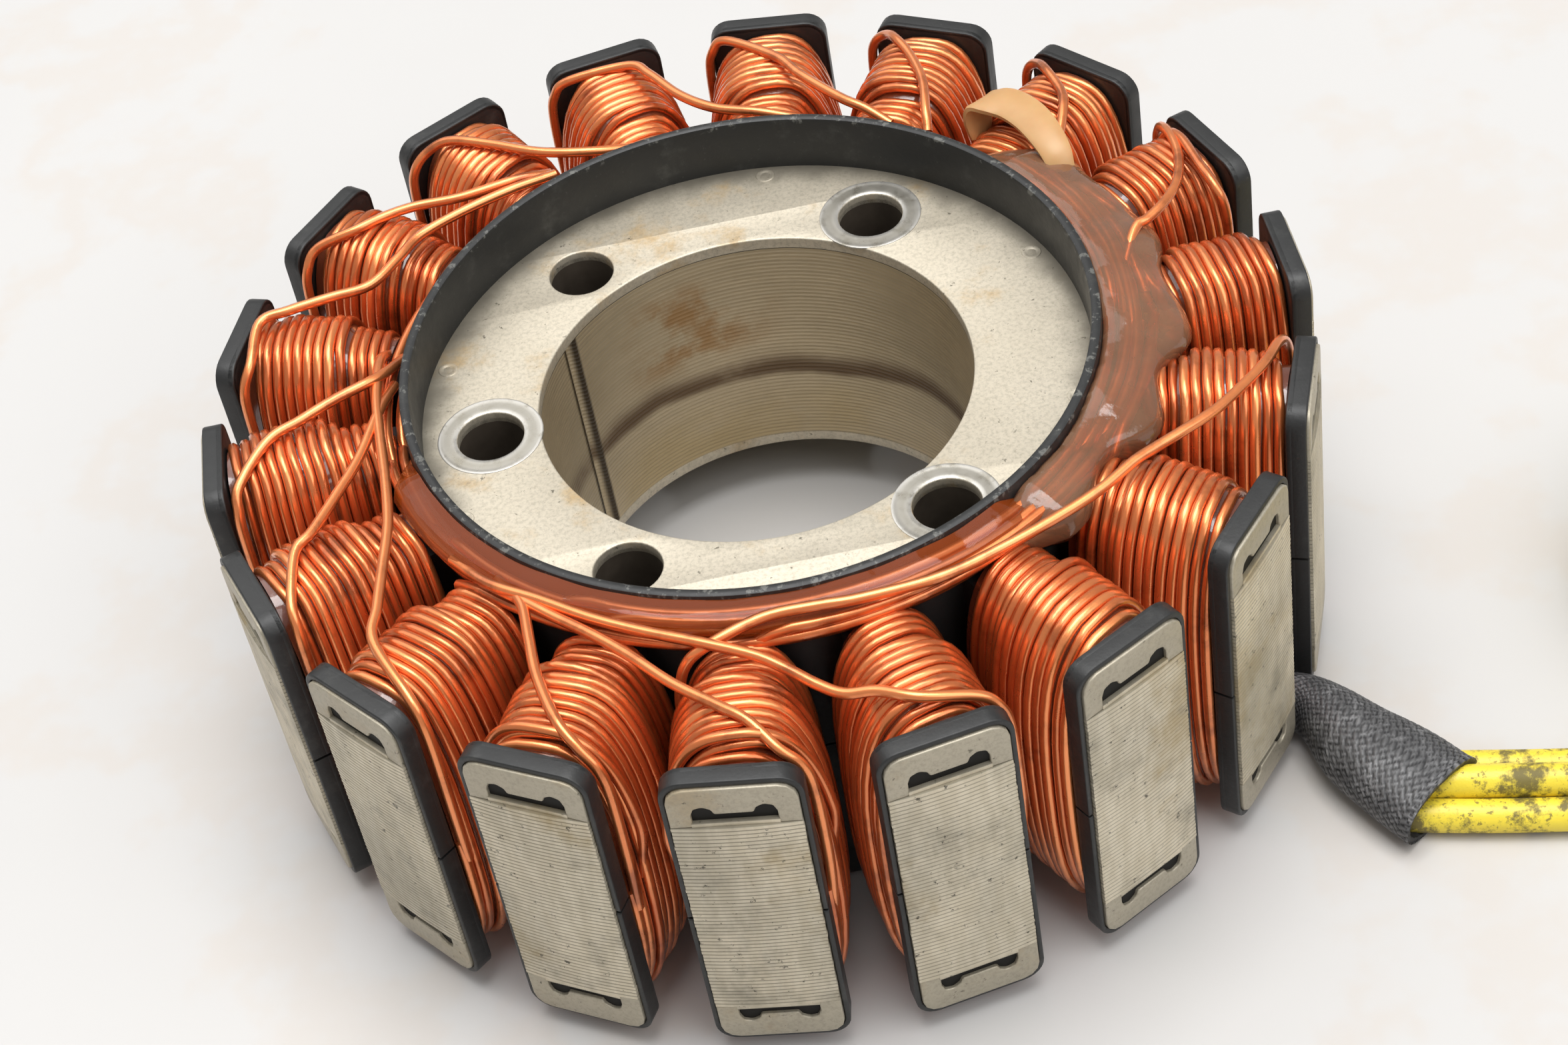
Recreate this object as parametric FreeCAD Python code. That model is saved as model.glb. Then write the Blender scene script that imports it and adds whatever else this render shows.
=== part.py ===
import FreeCAD
import Part
import math
import os

# Wound stator of an outer-rotor machine.
# Millimetres. Origin on the bore axis in the outer face of the lower end plate, +Z up
# towards the wiring side. Tooth 1 points along +X and the others follow anticlockwise.

# Laminated core, with its two end plates riveted on
FACE_R = 55.0
TOOTH_COUNT = 18
TIP_HALF = 5.83
NECK_HALF = 2.5
YOKE_R = 34.6
BORE_R = 21.65
SHEET_T = 0.508
SHEET_COUNT = 52
GROOVE_W = 1.0
GROOVE_DEPTH = 0.5
GROOVE_ANGLE = 145.0

# End plates, with a pole tab bent outwards at each tooth and a slot at each bend
PLATE_T = 1.36
TAB_RISE = 3.5
TAB_CORNER = 1.3
SLOT_HALF = 3.75
SLOT_RISE = 1.0

# Five mounting holes
HOLE_R = 3.35
HOLE_INSET = 4.95
PAIR_HALF_ANGLE = 55.0

# Moulded insulators, an upper and a lower half that meet at mid height
FIT = 0.05
JOINT_GAP = 0.3
WALL = 0.8
SIDE_RIM = 0.57
TOP_RIM = 0.66
FLANGE_T = 2.0
FLANGE_BACK = 0.29
FLANGE_CORNER = 1.5
COLLAR_STEP = 1.2
COLLAR_T = 1.05
COLLAR_RISE = 6.25
COLLAR_SIDES = 30

# Coils
COIL_IN_GAP = 1.6
COIL_OUT_GAP = 0.05
COIL_SIDE_GAP = 0.35
COIL_RISE = 4.0
INNER_RIDGES = 2
MAIN_RIDGES = 4
OUTER_RIDGES = 1
LAYER = 1.05
RIDGE_DEPTH = 0.45
CROWN_Y = 3.0
CROWN_Z = 5.0

# Wiring in the trough between the collar and the coils
TROUGH_GAP = 0.2
FRONT_WIRES_TOP = 2.7
REAR_WIRES_TOP = 1.2
RESIN_TOP = 4.3
FRONT_START_ANGLE = 180.0
RESIN_START_ANGLE = 280.0
REAR_START_ANGLE = 400.0
REAR_END_ANGLE = 520.0
TROUGH_STEP_ANGLE = 20.0

# Amber insulating loop that stands over the inner end of one coil
LOOP_ANGLE = 40.0
LOOP_SETBACK = 2.6
LOOP_HALF_SPAN = 4.9
LOOP_RISE = 6.0
LOOP_BAND_W = 3.6
LOOP_BAND_T = 1.1
LOOP_FOOT_Z = 30.1

# Lead bundle: a braided sleeve that leaves between two teeth, then bends and flares
LEAD_D = 3.4
EXIT_ANGLE = -30.0
SLEEVE_BEND = [(4.0, -6.8), (9.1, -14.6)]
SLEEVE_HALF_W = [2.2, 2.3, 2.5, 2.5, 3.9, 5.8]
SLEEVE_HALF_H = [2.6, 2.6, 3.0, 3.2, 3.2, 2.9]
SLEEVE_SIDES = 8

# The three leads, by distances from the sleeve's mouth in plan
LEAD_START = [(-3.1, -0.4), (-1.1, 2.5), (1.3, 5.1)]
LEAD_KNEE = [(21.7, -6.7), (22.3, -3.5), (22.9, -0.3)]
RING_X, RING_Y = 47.7, 18.8
RING_R = 20.0
LEAD_PITCH = 3.8
RING_TURNS = 2
TAIL_END_X = 89.7
MIDDLE_LIFT = 1.7
TUBE_SIDES = 6
ARC_SHARE = 0.45
RING_SIDES = 16
RING_MARGIN = 0.58

# Connector on the leads
CONNECTOR_L = 18.0
CONNECTOR_W = 13.0
CONNECTOR_H = 6.0
LATCH_L = 8.0
LATCH_W = 4.0
LATCH_H = 1.2

# Values that follow from those above
PLATE_TOP = SHEET_T * SHEET_COUNT + 2 * PLATE_T
MID_Z = PLATE_TOP / 2
HALF_PITCH = math.pi / TOOTH_COUNT
HOLE_CIRCLE_R = BORE_R + HOLE_INSET
TAB_TOP = PLATE_TOP + TAB_RISE
TAB_R = math.sqrt(FACE_R ** 2 - TIP_HALF ** 2)
TIP_BACK_R = TAB_R - PLATE_T
DECK_TOP = PLATE_TOP + WALL
HUB_R = YOKE_R + WALL
COLLAR_IN_R = YOKE_R - COLLAR_STEP
COLLAR_R = COLLAR_IN_R + COLLAR_T
COLLAR_TOP = PLATE_TOP + COLLAR_RISE
FLANGE_TOP = TAB_TOP + TOP_RIM
FLANGE_HALF = TIP_HALF + SIDE_RIM
FLANGE_OUT_R = TAB_R - FLANGE_BACK
FLANGE_IN_R = FLANGE_OUT_R - FLANGE_T
SPOOL_HALF = NECK_HALF + WALL
COIL_IN_R = HUB_R + COIL_IN_GAP
COIL_OUT_R = FLANGE_IN_R - COIL_OUT_GAP
COIL_PITCH = (COIL_OUT_R - COIL_IN_R) / (INNER_RIDGES + MAIN_RIDGES + OUTER_RIDGES - 1)
MAIN_IN_R = COIL_IN_R + INNER_RIDGES * COIL_PITCH
COIL_HALF_W = MAIN_IN_R * math.tan(HALF_PITCH) - COIL_SIDE_GAP
LOOP_R = COIL_IN_R + LOOP_SETBACK
FLOOR_Z = 2 * MID_Z - COLLAR_TOP
LEAD_Z = FLOOR_Z + LEAD_D / 2
TROUGH_IN_R = (COLLAR_R + TROUGH_GAP) / math.cos(math.radians(TROUGH_STEP_ANGLE / 2))
TROUGH_OUT_R = COIL_IN_R - TROUGH_GAP
MIDDLE_LEAD = (len(LEAD_START) - 1) / 2

UP = FreeCAD.Vector(0, 0, 1)
CENTRE = FreeCAD.Vector(0, 0, 0)


def vec(x, y, z=0.0):
    return FreeCAD.Vector(x, y, z)


def block(x0, x1, half_y, z0, z1):
    """A box that is centred on the X axis, as a piece of one tooth is."""
    return Part.makeBox(x1 - x0, 2 * half_y, z1 - z0, vec(x0, -half_y, z0))


def disc(radius, z0, z1):
    return Part.makeCylinder(radius, z1 - z0, vec(0, 0, z0))


def prism(flat_r, sides, z0, z1):
    """A regular prism on the axis with its flats at the given radius and a corner on +X."""
    corner_r = flat_r / math.cos(math.pi / sides)
    turns = [2 * math.pi * k / sides for k in range(sides + 1)]
    points = [vec(corner_r * math.cos(a), corner_r * math.sin(a), z0) for a in turns]
    return Part.Face(Part.makePolygon(points)).extrude(vec(0, 0, z1 - z0))


def turned(shape, degrees):
    copy = shape.copy()
    copy.rotate(CENTRE, UP, degrees)
    return copy


def around(shape):
    """One copy of the shape at each tooth."""
    return [turned(shape, 360.0 * k / TOOTH_COUNT) for k in range(TOOTH_COUNT)]


def fused(first, others):
    return first.fuse(others).removeSplitter()


def flipped(shape):
    """The mirror image below the middle of the core."""
    return shape.mirror(vec(0, 0, MID_Z), UP)


def export(shape, name):
    shape.exportStep(os.path.join("parts", name + ".step"))


# Mounting holes

def hole_angles():
    pair = PAIR_HALF_ANGLE
    return [pair, 180.0 - pair, 180.0, 180.0 + pair, 360.0 - pair]


def bored(shape, z0, z1):
    """The shape with the bore and the five holes cut through it."""
    cutters = [disc(BORE_R, z0, z1)]
    hole = Part.makeCylinder(HOLE_R, z1 - z0, vec(HOLE_CIRCLE_R, 0, z0))
    cutters += [turned(hole, angle) for angle in hole_angles()]
    return shape.cut(cutters)


# Laminated core

def arch_face(half, low, top, corner, x):
    """A face across a tooth, square below and with its two upper corners cut off."""
    points = [
        vec(x, -half, low),
        vec(x, -half, top - corner),
        vec(x, -half + corner, top),
        vec(x, half - corner, top),
        vec(x, half, top - corner),
        vec(x, half, low),
    ]
    return Part.Face(Part.makePolygon(points + points[:1]))


def stator_core():
    """Sheets with round pole faces and flat slot bottoms, between end plates with flat tabs."""
    plate_low = PLATE_TOP - PLATE_T
    neck = block(YOKE_R - PLATE_T, TIP_BACK_R, NECK_HALF, 0, PLATE_TOP)
    tip = block(TIP_BACK_R, FACE_R + PLATE_T, TIP_HALF, PLATE_T, plate_low)
    tip = tip.common(disc(FACE_R, PLATE_T, plate_low))
    tab = arch_face(TIP_HALF, plate_low, TAB_TOP, TAB_CORNER, TIP_BACK_R)
    tab = tab.extrude(vec(PLATE_T, 0, 0))
    tab = tab.cut(block(TIP_BACK_R, FACE_R, SLOT_HALF, PLATE_TOP, PLATE_TOP + SLOT_RISE))
    tooth = fused(neck, [tip, tab, flipped(tab)])
    blank = fused(prism(YOKE_R, TOOTH_COUNT, 0, PLATE_TOP), around(tooth))
    groove = block(BORE_R - GROOVE_DEPTH, BORE_R + GROOVE_DEPTH, GROOVE_W / 2, 0, PLATE_TOP)
    return bored(blank, 0, PLATE_TOP).cut(turned(groove, GROOVE_ANGLE))


# Moulded insulators

def upper_insulator():
    """Collar, slot liner, a channel over each neck and a flange round each tooth tip."""
    low = MID_Z + JOINT_GAP / 2
    hub = prism(HUB_R, TOOTH_COUNT, low, DECK_TOP)
    spool = block(HUB_R - WALL, FLANGE_IN_R + WALL / 2, SPOOL_HALF, low, DECK_TOP)
    flange = arch_face(FLANGE_HALF, low, FLANGE_TOP, FLANGE_CORNER, FLANGE_IN_R)
    flange = flange.extrude(vec(FLANGE_T, 0, 0))
    collar = prism(COLLAR_R, COLLAR_SIDES, MID_Z + WALL, COLLAR_TOP)
    body = fused(hub, around(spool) + around(flange) + [collar])

    channel = block(YOKE_R - WALL, FLANGE_OUT_R, NECK_HALF + FIT, low, PLATE_TOP)
    pocket = arch_face(TIP_HALF + FIT, low, TAB_TOP + FIT, TAB_CORNER, TIP_BACK_R - FIT)
    pocket = pocket.extrude(vec(FLANGE_T, 0, 0))
    yoke_room = prism(YOKE_R + FIT, TOOTH_COUNT, low, PLATE_TOP)
    opening = prism(COLLAR_IN_R, COLLAR_SIDES, low, COLLAR_TOP)
    room = around(channel) + around(pocket) + [yoke_room, opening]
    return body.cut(room)


# Coils

def coil_ring(radius, half_w, rise):
    """The outline of a coil across its tooth: straight sides and a crowned top and bottom."""
    half_h = MID_Z + rise
    quarter = [(half_w - CROWN_Y, half_h), (half_w, half_h - CROWN_Z)]
    right = quarter + [(y, -z) for y, z in reversed(quarter)]
    outline = right + [(-y, z) for y, z in reversed(right)]
    return [vec(radius, y, MID_Z + z) for y, z in outline]


def skinned(rings, split=False):
    """A closed solid with flat faces between rings that have as many points each.

    Where a ring is turned against its neighbour, each face between them is split in two.
    """
    faces = [Part.Face(Part.makePolygon(ring + ring[:1])) for ring in (rings[0], rings[-1])]
    for one, other in zip(rings, rings[1:]):
        for k in range(len(one)):
            n = (k + 1) % len(one)
            quad = [one[k], one[n], other[n], other[k]]
            parts = [[quad[0], quad[1], quad[2]], [quad[0], quad[2], quad[3]]] if split else [quad]
            faces += [Part.Face(Part.makePolygon(part + part[:1])) for part in parts]
    solid = Part.makeSolid(Part.makeShell(faces))
    if solid.Volume < 0:
        solid.reverse()
    return solid


def missing_layers():
    """How far each ridge, from the hub outwards, stays below the full coil, in layers of wire."""
    return [1.0] * INNER_RIDGES + [0.0] * MAIN_RIDGES + [0.6] * OUTER_RIDGES


def coil():
    """One coil, with a ridge round the tooth for each pair of turns in its outer layer."""
    layers = missing_layers()
    rings = []
    for k, missing in enumerate(layers):
        crest = COIL_IN_R + k * COIL_PITCH
        half_w = COIL_HALF_W - missing * LAYER
        rise = COIL_RISE - missing * LAYER
        if rings:
            lower = max(missing, layers[k - 1]) * LAYER + RIDGE_DEPTH
            rings.append(coil_ring(crest - COIL_PITCH / 2, COIL_HALF_W - lower, COIL_RISE - lower))
        rings.append(coil_ring(crest, half_w, rise))
    spool = block(HUB_R, FLANGE_OUT_R, SPOOL_HALF, -WALL, DECK_TOP)
    return skinned(rings).cut(spool)


# Wiring in the trough

def trough_piece(start, end, rise):
    """A run of the trough round the collar, straight from point to point."""
    count = round((end - start) / TROUGH_STEP_ANGLE)
    rings = []
    for k in range(count + 1):
        angle = math.radians(start + (end - start) * k / count)
        radial = vec(math.cos(angle), math.sin(angle))
        low = vec(0, 0, DECK_TOP)
        high = vec(0, 0, DECK_TOP + rise)
        inner = radial * TROUGH_IN_R
        outer = radial * TROUGH_OUT_R
        rings.append([inner + low, outer + low, outer + high, inner + high])
    return skinned(rings)


def amber_loop(seat):
    """An arch of flat insulating tube that stands on the inner turns of one coil."""
    rings = []
    steps = 6
    for k in range(steps + 1):
        lean = math.pi * k / steps
        out = vec(0, -math.cos(lean), math.sin(lean))
        ring = []
        for x, side in ((-0.5, 1), (0.5, 1), (0.5, 0), (-0.5, 0)):
            y = out.y * (LOOP_HALF_SPAN - LOOP_BAND_T * (1 - side))
            z = out.z * (LOOP_RISE - LOOP_BAND_T * (1 - side))
            ring.append(vec(LOOP_R + x * LOOP_BAND_W, y, LOOP_FOOT_Z + z))
        rings.append(ring)
    return turned(skinned(rings).cut(seat), LOOP_ANGLE)


# Lead bundle

def sleeve_route():
    """The sleeve's centre line in plan: straight out between two teeth, then round a bend."""
    exit_way = vec(math.cos(math.radians(EXIT_ANGLE)), math.sin(math.radians(EXIT_ANGLE)))
    inside = (COIL_IN_R + FLANGE_OUT_R) / 2
    radii = [COLLAR_R + TROUGH_GAP, inside, FLANGE_IN_R - WALL / 2, FLANGE_OUT_R + WALL / 2]
    out = [exit_way * radius for radius in radii]
    return out + [out[-1] + vec(x, y) for x, y in SLEEVE_BEND]


def lead_sleeve():
    """The braided sleeve, squeezed between two flanges and flared at its open end."""
    stations = sleeve_route()
    flat = math.cos(math.pi / SLEEVE_SIDES)
    rings = []
    for k, here in enumerate(stations):
        before = stations[max(k - 1, 0)]
        after = stations[min(k + 1, len(stations) - 1)]
        along = (after - before).normalize()
        across = UP.cross(along)
        middle = here + vec(0, 0, FLOOR_Z + SLEEVE_HALF_H[k])
        ring = []
        for s in range(SLEEVE_SIDES):
            angle = 2 * math.pi * (s + 0.5) / SLEEVE_SIDES
            side = across * (SLEEVE_HALF_W[k] * math.cos(angle) / flat)
            lift = UP * (SLEEVE_HALF_H[k] * math.sin(angle) / flat)
            ring.append(middle + side + lift)
        rings.append(ring)
    return skinned(rings, split=True)


def rounded_path(points):
    """Straight runs joined by tangent arcs, each as large as its two runs allow."""
    edges = []
    radii = []
    last = points[0]
    for before, corner, after in zip(points, points[1:], points[2:]):
        back = (before - corner)
        ahead = (after - corner)
        reach = ARC_SHARE * min(back.Length, ahead.Length)
        back.normalize()
        ahead.normalize()
        half_turn = (math.pi - back.getAngle(ahead)) / 2
        radius = reach / math.tan(half_turn)
        start = corner + back * reach
        end = corner + ahead * reach
        bulge = (back + ahead).normalize()
        middle = corner + bulge * (radius / math.cos(half_turn) - radius)
        edges.append(Part.LineSegment(last, start).toShape())
        edges.append(Part.Arc(start, middle, end).toShape())
        radii.append(round(radius, 1))
        last = end
    edges.append(Part.LineSegment(last, points[-1]).toShape())
    return Part.Wire(edges), radii


def tube(points):
    """A six-sided tube along a rounded path, with the section of the round lead."""
    path, radii = rounded_path(points)
    along = (points[1] - points[0]).normalize()
    across = UP.cross(along).normalize()
    up = along.cross(across)
    area = math.pi * (LEAD_D / 2) ** 2
    corner = 2 * math.pi / TUBE_SIDES
    reach = math.sqrt(2 * area / (TUBE_SIDES * math.sin(corner)))
    ring = []
    for s in range(TUBE_SIDES):
        angle = corner * s
        ring.append(points[0] + across * (reach * math.cos(angle)) + up * (reach * math.sin(angle)))
    profile = Part.makePolygon(ring + ring[:1])
    solid = path.makePipeShell([profile], True, False)
    return solid, path.Length, radii


def mouth():
    """The middle of the sleeve's open end, in plan."""
    return sleeve_route()[-1]


def ring_radius(index):
    """The first lead runs along the outside of the coil and the last along its inside."""
    return RING_R + LEAD_PITCH * (MIDDLE_LEAD - index)


def lead(index, neighbours):
    """One lead's two stretches, from the sleeve to the coil and on to the connector."""
    lift = MIDDLE_LIFT if index == MIDDLE_LEAD else 0.0
    ring_y = RING_Y - ring_radius(index)
    rise = RING_TURNS * LEAD_PITCH
    base = mouth() + vec(0, 0, LEAD_Z)
    way_in = [
        base + vec(*LEAD_START[index], lift),
        base + vec(*LEAD_KNEE[index], lift),
        base + vec(RING_X, ring_y),
    ]
    way_out = [base + vec(RING_X, ring_y, rise), base + vec(TAIL_END_X, ring_y)]
    first, first_length, first_radii = tube(way_in)
    last, last_length, last_radii = tube(way_out)
    turns = 2 * math.pi * ring_radius(index) * RING_TURNS
    total = first_length + turns + last_length
    print("lead", index + 1, "radii", first_radii + last_radii, "length", round(total, 1))
    print("  volume to section times length", round(
        (first.Volume + last.Volume) / (math.pi * LEAD_D ** 2 / 4 * (first_length + last_length)), 4
    ))
    return Part.makeCompound([first.cut(neighbours), last.cut(neighbours)])


def behind_mouth():
    """The space on the sleeve's side of its open end."""
    before, end = sleeve_route()[-2:]
    heading = math.degrees(math.atan2(end.y - before.y, end.x - before.x))
    reach = 4 * max(SLEEVE_HALF_W)
    space = Part.makeBox(reach, reach, reach, vec(-reach, -reach / 2, -reach / 2))
    space.rotate(CENTRE, UP, heading)
    space.translate(end + vec(0, 0, LEAD_Z))
    return space


def lead_coil():
    """The outer shape of the leads where they are wound up together."""
    high = FLOOR_Z + LEAD_D + RING_TURNS * LEAD_PITCH
    half = LEAD_PITCH * MIDDLE_LEAD + RING_MARGIN * LEAD_D
    centre = mouth() + vec(RING_X, RING_Y, FLOOR_Z)
    rings = []
    for k in range(RING_SIDES + 1):
        angle = 2 * math.pi * k / RING_SIDES
        rings.append((math.cos(angle), math.sin(angle)))
    outer = [centre + vec(c, s) * (RING_R + half) for c, s in rings]
    inner = [centre + vec(c, s) * (RING_R - half) for c, s in rings]
    face = Part.Face(Part.makePolygon(outer)).cut(Part.Face(Part.makePolygon(inner)))
    return face.extrude(vec(0, 0, high - FLOOR_Z))


def lead_connector():
    """A three-way housing that lies on its side, with its latch on top."""
    start = mouth() + vec(TAIL_END_X, RING_Y - RING_R, FLOOR_Z)
    corner = start - vec(0, CONNECTOR_W / 2)
    body = Part.makeBox(CONNECTOR_L, CONNECTOR_W, CONNECTOR_H, corner)
    corner = start + vec(CONNECTOR_L - LATCH_L, -LATCH_W / 2, CONNECTOR_H)
    latch = Part.makeBox(LATCH_L, LATCH_W, LATCH_H, corner)
    return fused(body, [latch])


os.makedirs("parts", exist_ok=True)

export(stator_core(), "stator_core")
insulator_half = upper_insulator()
export(insulator_half, "upper_insulator")
export(flipped(insulator_half), "lower_insulator")

first_coil = coil()
for number, shape in enumerate(around(first_coil), start=1):
    export(shape, "coil_%02d" % number)

export(trough_piece(FRONT_START_ANGLE, RESIN_START_ANGLE, FRONT_WIRES_TOP), "front_crossover_wires")
export(trough_piece(RESIN_START_ANGLE, REAR_START_ANGLE, RESIN_TOP), "potting_resin")
export(trough_piece(REAR_START_ANGLE, REAR_END_ANGLE, REAR_WIRES_TOP), "rear_crossover_wires")
export(amber_loop(first_coil), "amber_loop")

sleeve = lead_sleeve()
wound_up = lead_coil()
connector = lead_connector()
export(sleeve, "lead_sleeve")
export(wound_up, "lead_coil")
export(connector, "lead_connector")
for index in range(len(LEAD_START)):
    export(lead(index, [behind_mouth(), wound_up, connector]), "lead_%d" % (index + 1))
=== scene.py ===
import math

import bmesh
import bpy
import numpy as np
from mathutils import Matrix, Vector, noise


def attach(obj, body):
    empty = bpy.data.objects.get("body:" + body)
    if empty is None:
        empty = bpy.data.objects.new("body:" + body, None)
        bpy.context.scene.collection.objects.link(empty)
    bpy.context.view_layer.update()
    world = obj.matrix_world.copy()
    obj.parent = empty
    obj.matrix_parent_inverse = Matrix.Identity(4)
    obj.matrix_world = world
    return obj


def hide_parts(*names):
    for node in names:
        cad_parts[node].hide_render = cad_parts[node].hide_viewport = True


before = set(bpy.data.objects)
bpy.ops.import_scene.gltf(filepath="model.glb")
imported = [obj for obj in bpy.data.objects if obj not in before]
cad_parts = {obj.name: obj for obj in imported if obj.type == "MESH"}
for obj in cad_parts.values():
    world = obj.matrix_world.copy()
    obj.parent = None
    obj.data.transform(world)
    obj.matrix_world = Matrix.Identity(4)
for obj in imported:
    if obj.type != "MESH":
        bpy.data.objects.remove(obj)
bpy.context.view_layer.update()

rng = np.random.default_rng(7)

# Sizes in millimetres, in the CAD frame
MM = 0.001
TEETH = 18
STEP = 20  # degrees from one tooth to the next
FACE_R, TIP_HALF, TIP_BACK = 55.0, 5.83, 53.33  # tooth face, half its width, back of the wide tip
TAB_R, TAB_RISE, NECK_HALF = 54.69, 3.5, 2.5  # outside and height of the bent tabs, half a neck
BORE_R, PLATE_R, PLATE_T, PLATE_TOP = 21.65, 34.6, 1.36, 29.136
MID = PLATE_TOP / 2
SHEETS, SHEET = 52, 0.508
GROOVE_ANGLE, GROOVE_DEPTH = 145, 0.7
HOLE_R, HOLE_CIRCLE = 3.35, 26.6
HOLES = (55, 125, 180, 235, 305)  # degrees
RUBBED_HOLES = (55, 180, 305)
DENTS, DENT_CIRCLE = (20, 80, 160, 200, 340), 32.0
COLLAR_R, COLLAR_RISE = 34.5, 6.25
SIDE_RIM, TOP_RIM, HALF_GAP = 0.57, 0.66, 0.15  # round a tooth face, half the joint at mid height
RIM_X, RIM_DEPTH, FLANGE_X, FLANGE_T, SPOOL_HALF = 53.4, 2.0, 52.79, 0.78, 3.3
TROUGH_Z = 29.9  # floor of the trough round the collar
TURNS, COIL_IN, COIL_OUT = 13, 37.5, 51.75
HALF_W, HALF_H, POWER = 7.0, 18.5, 2.8  # of the superellipse that a turn follows
WIRE_R, WIRE_SIDES = 0.54, 8
FLOOR = -6.264
LEAD_D = 3.4  # diameter


# Building blocks

def pt(x, y, z):
    return np.array((x, y, z), float)


def polar(r, degrees, z=0.0):
    a = math.radians(degrees)
    return pt(r * math.cos(a), r * math.sin(a), z)


def turn(points, degrees):
    a = math.radians(degrees)
    c, s = math.cos(a), math.sin(a)
    p = np.asarray(points, float)
    return np.stack([p[..., 0] * c - p[..., 1] * s, p[..., 0] * s + p[..., 1] * c, p[..., 2]], -1)


class Sheet:
    """Collects vertices and faces in millimetres, with one number for each vertex."""

    def __init__(self):
        self.verts, self.faces, self.tone = [], [], []

    def add(self, verts, faces, tone=0.5):
        base = len(self.verts)
        self.verts += [tuple(v) for v in verts]
        self.faces += [tuple(i + base for i in f) for f in faces]
        self.tone += list(tone) if hasattr(tone, "__len__") else [tone] * len(verts)

    def loft(self, rings, path_closed=False, caps=True, tone=0.5):
        """A skin over closed rings of the same number of points."""
        rings = np.asarray(rings, float)
        n, m = rings.shape[:2]
        faces = []
        for i in range(n if path_closed else n - 1):
            j = (i + 1) % n
            for k in range(m):
                after = (k + 1) % m
                faces.append((i * m + k, i * m + after, j * m + after, j * m + k))
        if caps and not path_closed:
            faces.append(tuple(range(m - 1, -1, -1)))
            faces.append(tuple((n - 1) * m + k for k in range(m)))
        self.add(rings.reshape(-1, 3), faces, tone)

    def wire(self, path, tone):
        """A round wire along a path."""
        p = np.asarray(path, float)
        ahead = np.roll(p, -1, 0) - np.roll(p, 1, 0)
        ahead[0], ahead[-1] = p[1] - p[0], p[-1] - p[-2]
        ahead /= np.linalg.norm(ahead, axis=1)[:, None]
        side = np.cross(ahead[0], (0, 0, 1.0))
        if np.linalg.norm(side) < 0.05:
            side = np.cross(ahead[0], (1.0, 0, 0))
        rings = []
        angles = np.arange(WIRE_SIDES) * 2 * np.pi / WIRE_SIDES
        for k, t in enumerate(ahead):
            side = side - t * side.dot(t)
            side /= np.linalg.norm(side)
            up = np.cross(t, side)
            rings.append(p[k] + WIRE_R * (np.outer(np.cos(angles), side) + np.outer(np.sin(angles), up)))
        self.loft(rings, tone=tone)

    def obj(self, name, paint, replaces, slot, angle=35):
        """Makes the object; edges sharper than the angle stay sharp."""
        mesh = bpy.data.meshes.new(name)
        mesh.from_pydata([tuple(c * MM for c in v) for v in self.verts], [], self.faces)
        mesh.update()
        tone = mesh.attributes.new("tone", "FLOAT", "POINT")
        tone.data.foreach_set("value", [float(t) for t in self.tone])
        work = bmesh.new()
        work.from_mesh(mesh)
        bmesh.ops.recalc_face_normals(work, faces=work.faces)
        work.to_mesh(mesh)
        work.free()
        mesh.shade_smooth()
        mesh.set_sharp_from_angle(angle=math.radians(angle))
        mesh.materials.append(paint)
        made = bpy.data.objects.new(name, mesh)
        bpy.context.collection.objects.link(made)
        return settle(made, replaces)


def settle(made, replaces):
    """Rides on the part and takes the place of the named CAD nodes."""
    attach(made, "root")
    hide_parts(*replaces)
    return made


def spline(points, per=8):
    """A smooth path through the points."""
    p = np.asarray(points, float)
    p = np.vstack([2 * p[0] - p[1], p, 2 * p[-1] - p[-2]])
    out = []
    for i in range(1, len(p) - 2):
        for s in np.arange(per) / per:
            a = 2 * p[i]
            b = (p[i + 1] - p[i - 1]) * s
            c = (2 * p[i - 1] - 5 * p[i] + 4 * p[i + 1] - p[i + 2]) * s * s
            d = (-p[i - 1] + 3 * p[i] - 3 * p[i + 1] + p[i + 2]) * s ** 3
            out.append((a + b + c + d) / 2)
    out.append(p[-2])
    return np.array(out)


def flat_shape(loops, thick, bevel, steps=2):
    """Vertices and faces of a plate cut to these loops, centred on z = 0, with rounded edges."""
    curve = bpy.data.curves.new("shape", "CURVE")
    curve.dimensions = "2D"
    curve.fill_mode = "BOTH"
    curve.extrude = (thick / 2 - bevel) * MM
    curve.bevel_depth = bevel * MM
    curve.bevel_resolution = steps
    curve.offset = -bevel * MM
    for loop in loops:
        s = curve.splines.new("POLY")
        s.points.add(len(loop) - 1)
        for q, (x, y) in zip(s.points, loop):
            q.co = (x * MM, y * MM, 0, 1)
        s.use_cyclic_u = True
    made = bpy.data.objects.new("shape", curve)
    bpy.context.collection.objects.link(made)
    bpy.context.view_layer.update()
    mesh = bpy.data.meshes.new_from_object(made.evaluated_get(bpy.context.evaluated_depsgraph_get()))
    work = bmesh.new()
    work.from_mesh(mesh)
    bmesh.ops.remove_doubles(work, verts=work.verts, dist=1e-6)
    verts = np.array([v.co[:] for v in work.verts]) / MM
    faces = [tuple(v.index for v in f.verts) for f in work.faces]
    work.free()
    bpy.data.objects.remove(made)
    bpy.data.curves.remove(curve)
    bpy.data.meshes.remove(mesh)
    return verts, faces


def circle(r, n, x=0.0, y=0.0):
    angles = [2 * math.pi * k / n for k in range(n)]
    return [(x + r * math.cos(a), y + r * math.sin(a)) for a in angles]


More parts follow.
